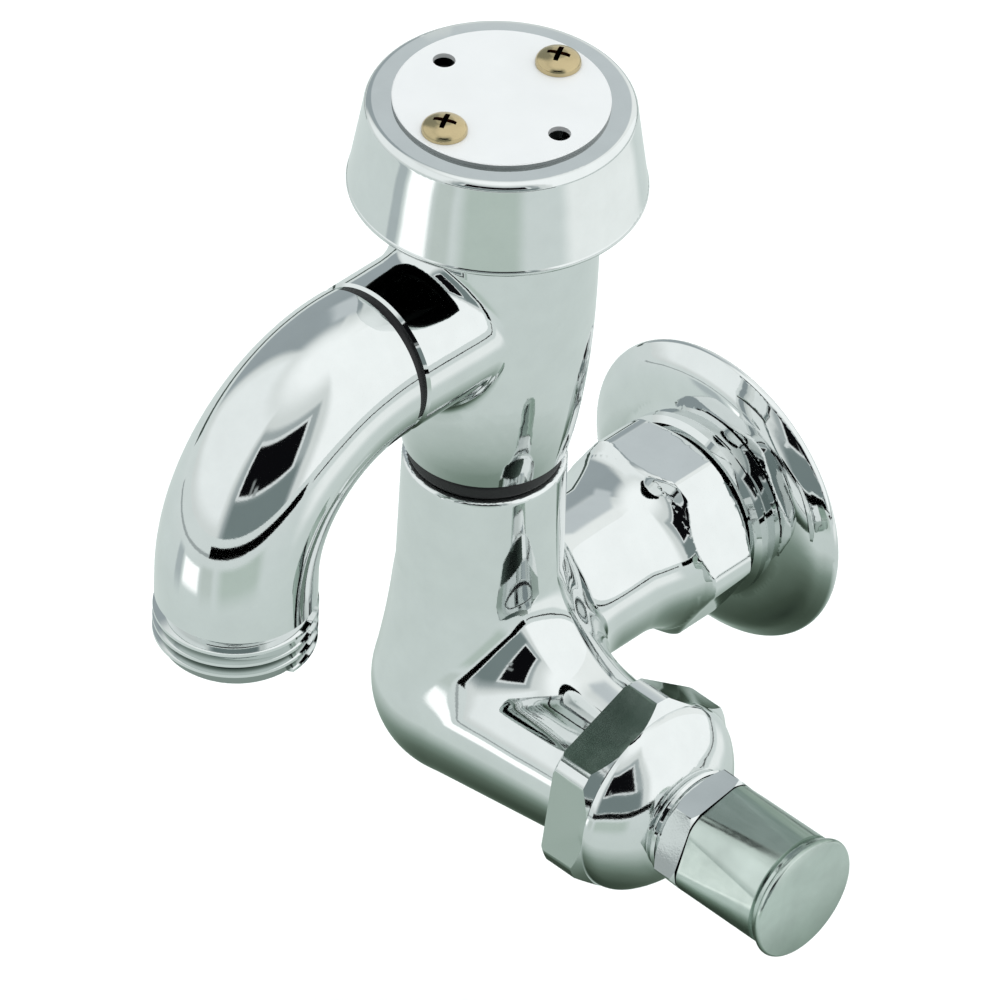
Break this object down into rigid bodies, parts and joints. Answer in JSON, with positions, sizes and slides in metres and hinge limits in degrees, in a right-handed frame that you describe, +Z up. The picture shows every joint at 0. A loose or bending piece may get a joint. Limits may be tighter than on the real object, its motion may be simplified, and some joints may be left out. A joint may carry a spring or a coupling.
{
  "type": "outdoor faucet",
  "caption": "Chrome sill faucet with a wall flange, a side bonnet and loose key, an atmospheric vacuum breaker under a flared hood, and a curved spout with a hose thread.",
  "frame": {"origin": "centre of the wall flange's back face, on the inlet axis", "axes": "+Y into the wall along the inlet axis, +Z up along the body, +X along the bonnet toward the key; the spout leaves toward -Y"},
  "size_m": [0.1048, 0.1303, 0.1462],
  "materials": {
    "body_chrome": "polished plating",
    "key_satin": "satin",
    "plate_satin": "satin",
    "screw_brass": "turned, slightly dulled",
    "inner_brass": "machined",
    "black_rubber": "moulded",
    "graphite_packing": "pressed",
    "float_plastic": "moulded",
    "steel_screw": "machined",
    "foam": "closed-cell foam"
  },
  "bodies": {
    "faucet": {"valve_body": "body_chrome", "wall_flange": "body_chrome", "wall_gasket": "foam", "valve_seat": "inner_brass", "bonnet": "body_chrome", "bonnet_gasket": "black_rubber", "stem_packing": "graphite_packing", "packing_gland": "inner_brass", "packing_nut": "body_chrome", "breaker_body": "body_chrome", "breaker_seal": "black_rubber", "float_guide": "float_plastic", "air_cover": "inner_brass", "air_gasket": "black_rubber", "hood": "body_chrome", "hood_plate": "plate_satin", "plate_screws": "screw_brass", "spout": "body_chrome", "spout_seal": "black_rubber"},
    "spindle": {"spindle": "inner_brass"},
    "key": {"loose_key": "key_satin"},
    "plunger": {"disc_holder": "inner_brass", "seat_washer": "black_rubber", "washer_screw": "inner_brass"},
    "float": {"breaker_float": "float_plastic", "float_disc": "black_rubber", "float_screw": "steel_screw"}
  },
  "joints": [
    {"name": "spindle_turn", "type": "hinge", "parent": "faucet", "child": "spindle", "pos_m": [0.05, -0.0594, -0.0074], "axis": [1, 0, 0], "range_deg": [0, 480]},
    {"name": "key_pull", "type": "slide", "parent": "spindle", "child": "key", "axis": [1, 0, 0], "range_m": [0, 0.045]},
    {"name": "disc_lift", "type": "slide", "parent": "faucet", "child": "plunger", "axis": [1, 0, 0], "range_m": [0, 0.004]},
    {"name": "float_rise", "type": "slide", "parent": "faucet", "child": "float", "axis": [0, 0, 1], "range_m": [0, 0.0096]}
  ],
  "couplings": [
    {"joint": "spindle_turn", "follows": "disc_lift", "rad_per_m": 2094.4}
  ]
}
